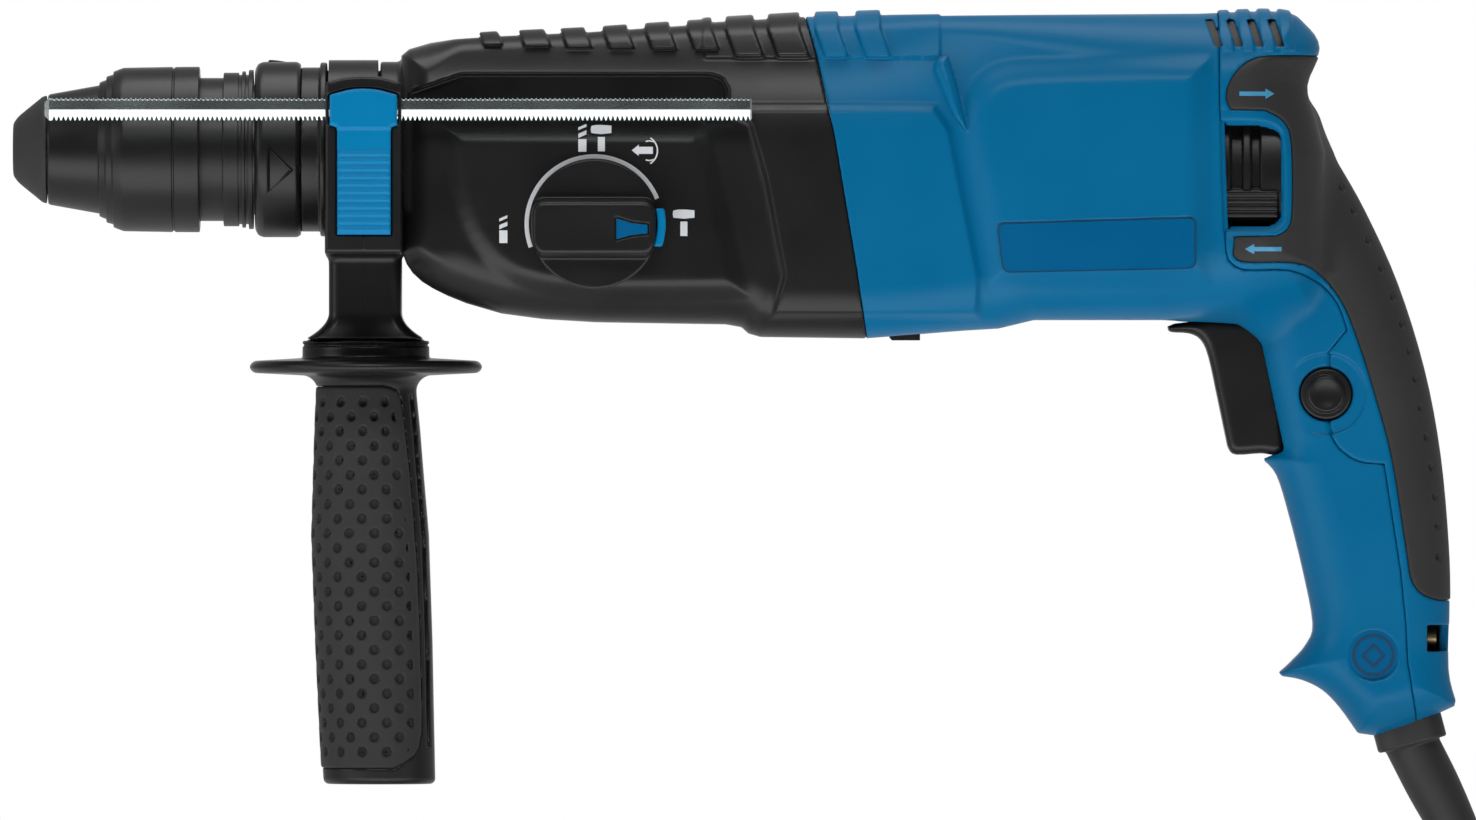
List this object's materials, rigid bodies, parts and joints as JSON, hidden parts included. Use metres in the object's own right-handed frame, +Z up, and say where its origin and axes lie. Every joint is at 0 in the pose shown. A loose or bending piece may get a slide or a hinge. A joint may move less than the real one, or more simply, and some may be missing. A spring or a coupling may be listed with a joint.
{
  "type": "rotary hammer",
  "caption": "Corded rotary hammer with a quick-change tool holder, swivelling side handle, depth rod, mode knob, pistol grip and coiled mains lead.",
  "frame": {"origin": "centre of the rear hand grip", "axes": "-X towards the drill bit along the spindle, +Z up with the side handle hanging down, -Y the side with the mode knob"},
  "size_m": [0.4413, 0.12, 0.353],
  "materials": {
    "black_plastic": "moulded black nylon, fine texture",
    "blue_plastic": "moulded blue nylon, satin",
    "blue_insert": "satin blue insert",
    "black_rubber": "soft-touch matt rubber",
    "cord_rubber": "matt rubber cable sheath",
    "grey_plastic": "glass-filled grey plastic",
    "cast_aluminium": "cast and machined",
    "steel": "ground steel, oiled",
    "dark_steel": "phosphated steel",
    "zinc_steel": "zinc-plated, satin",
    "copper": "enamelled copper",
    "brass": "pressed brass",
    "brass_screw": "yellow-passivated screws",
    "carbon": "pressed carbon"
  },
  "bodies": {
    "casing": {"gear_housing": "black_plastic", "motor_housing": "blue_plastic", "handle_cover": "blue_plastic", "soft_grip": "black_rubber", "intermediate_flange": "cast_aluminium", "spindle_bearings": "steel", "spindle_seal": "black_rubber", "armature_bearings": "steel", "intermediate_bearings": "steel", "stator_core": "dark_steel", "field_coils": "copper", "switch": "black_plastic", "housing_screws": "brass_screw", "strain_relief": "black_rubber", "cord_lead": "cord_rubber", "cord_coil": "cord_rubber", "cord_tail": "cord_rubber", "cord_tie": "black_plastic", "plug": "cord_rubber"},
    "armature": {"armature_shaft": "steel", "armature_core": "dark_steel", "armature_windings": "copper", "commutator": "copper", "fan": "grey_plastic"},
    "brush_gear": {"brush_plate": "grey_plastic", "direction_lever": "black_plastic", "brush_holders": "brass", "carbon_brushes": "carbon"},
    "layshaft": {"intermediate_shaft": "steel", "intermediate_gear": "steel", "wobble_hub": "steel", "wobble_balls": "steel"},
    "clutch": {"clutch_sleeve": "steel"},
    "spindle": {"spindle_tube": "steel", "spindle_gear": "steel", "clutch_spring": "steel", "chuck_body": "dark_steel", "chuck_cover": "black_plastic", "dust_cap": "black_rubber", "locking_balls": "steel", "sleeve_spring": "steel"},
    "lock_sleeve": {"locking_sleeve": "black_plastic"},
    "changer": {"changer_ring": "black_plastic"},
    "wobble": {"wobble_ring": "steel"},
    "piston": {"piston": "cast_aluminium"},
    "trunnion": {"trunnion": "steel"},
    "striker": {"striker": "steel"},
    "impact_bolt": {"impact_bolt": "steel"},
    "knob": {"mode_knob": "black_plastic", "knob_pointer": "blue_insert"},
    "fork": {"shift_fork": "steel"},
    "trigger": {"trigger": "black_plastic"},
    "lock_button": {"lock_button": "black_plastic"},
    "side_handle": {"clamp_band": "black_plastic", "handle_bracket": "black_plastic", "clamp_bolt": "steel"},
    "side_grip": {"grip_core": "black_plastic", "grip_pad": "black_rubber"},
    "depth_rod": {"depth_rod": "zinc_steel"},
    "rod_button": {"rod_button": "blue_insert"}
  },
  "joints": [
    {"name": "armature_spin", "type": "hinge", "parent": "casing", "child": "armature", "pos_m": [-0.1, 0, 0.072], "axis": [1, 0, 0], "continuous": true},
    {"name": "layshaft_spin", "type": "hinge", "parent": "casing", "child": "layshaft", "pos_m": [-0.2, 0, 0.0495], "axis": [1, 0, 0], "continuous": true},
    {"name": "spindle_spin", "type": "hinge", "parent": "casing", "child": "spindle", "pos_m": [-0.3, 0, 0.08], "axis": [1, 0, 0], "continuous": true},
    {"name": "direction_lever_turn", "type": "hinge", "parent": "casing", "child": "brush_gear", "pos_m": [-0.048, 0, 0.072], "axis": [-1, 0, 0], "range_deg": [0, 27]},
    {"name": "clutch_slide", "type": "slide", "parent": "layshaft", "child": "clutch", "axis": [1, 0, 0], "range_m": [-0.008, 0]},
    {"name": "lock_sleeve_slide", "type": "slide", "parent": "spindle", "child": "lock_sleeve", "axis": [1, 0, 0], "range_m": [0, 0.006], "stiffness_N_per_m": 1500, "springref_m": -0.004, "deforming": ["sleeve_spring"]},
    {"name": "changer_slide", "type": "slide", "parent": "spindle", "child": "changer", "axis": [1, 0, 0], "range_m": [0, 0.0035], "stiffness_N_per_m": 2000, "springref_m": -0.003},
    {"name": "wobble_swing", "type": "hinge", "parent": "casing", "child": "wobble", "pos_m": [-0.192, 0, 0.0495], "axis": [0, 1, 0], "range_deg": [-12, 12]},
    {"name": "piston_slide", "type": "slide", "parent": "casing", "child": "piston", "axis": [1, 0, 0], "range_m": [-0.00652, 0.00652]},
    {"name": "trunnion_turn", "type": "hinge", "parent": "piston", "child": "trunnion", "pos_m": [-0.192, 0, 0.08], "axis": [0, 1, 0], "range_deg": [-12.1, 12.1]},
    {"name": "striker_slide", "type": "slide", "parent": "casing", "child": "striker", "axis": [1, 0, 0], "range_m": [-0.009, 0.005]},
    {"name": "impact_bolt_slide", "type": "slide", "parent": "casing", "child": "impact_bolt", "axis": [1, 0, 0], "range_m": [-0.0025, 0.0025]},
    {"name": "mode_knob_turn", "type": "hinge", "parent": "casing", "child": "knob", "pos_m": [-0.2152, -0.04, 0.0585], "axis": [0, -1, 0], "range_deg": [0, 180]},
    {"name": "fork_slide", "type": "slide", "parent": "casing", "child": "fork", "axis": [1, 0, 0], "range_m": [-0.008, 0]},
    {"name": "trigger_pull", "type": "hinge", "parent": "casing", "child": "trigger", "pos_m": [-0.048, 0, 0.0295], "axis": [0, -1, 0], "range_deg": [0, 8], "stiffness_Nm_per_rad": 0.9, "springref_deg": -6.88},
    {"name": "lock_button_press", "type": "slide", "parent": "casing", "child": "lock_button", "axis": [0, 1, 0], "range_m": [0, 0.0025], "stiffness_N_per_m": 600, "springref_m": -0.002},
    {"name": "side_handle_swivel", "type": "hinge", "parent": "casing", "child": "side_handle", "pos_m": [-0.284, 0, 0.08], "axis": [1, 0, 0], "range_deg": [-90, 8]},
    {"name": "side_grip_turn", "type": "hinge", "parent": "side_handle", "child": "side_grip", "pos_m": [-0.2805, 0, 0], "axis": [0, 0, 1], "range_deg": [0, 360]},
    {"name": "depth_rod_slide", "type": "slide", "parent": "side_handle", "child": "depth_rod", "axis": [1, 0, 0], "range_m": [-0.085, 0.015]},
    {"name": "rod_button_press", "type": "slide", "parent": "side_handle", "child": "rod_button", "axis": [0, 1, 0], "range_m": [0, 0.0018], "stiffness_N_per_m": 800, "springref_m": -0.002}
  ],
  "couplings": [
    {"joint": "layshaft_spin", "follows": "armature_spin", "ratio": -0.21622},
    {"joint": "spindle_spin", "follows": "armature_spin", "ratio": 0.058559},
    {"joint": "piston_slide", "follows": "wobble_swing", "m_per_rad": 0.0308},
    {"joint": "trunnion_turn", "follows": "wobble_swing", "ratio": 1},
    {"joint": "fork_slide", "follows": "mode_knob_turn", "m_per_rad": -0.0025465},
    {"joint": "clutch_slide", "follows": "mode_knob_turn", "m_per_rad": -0.0025465}
  ]
}
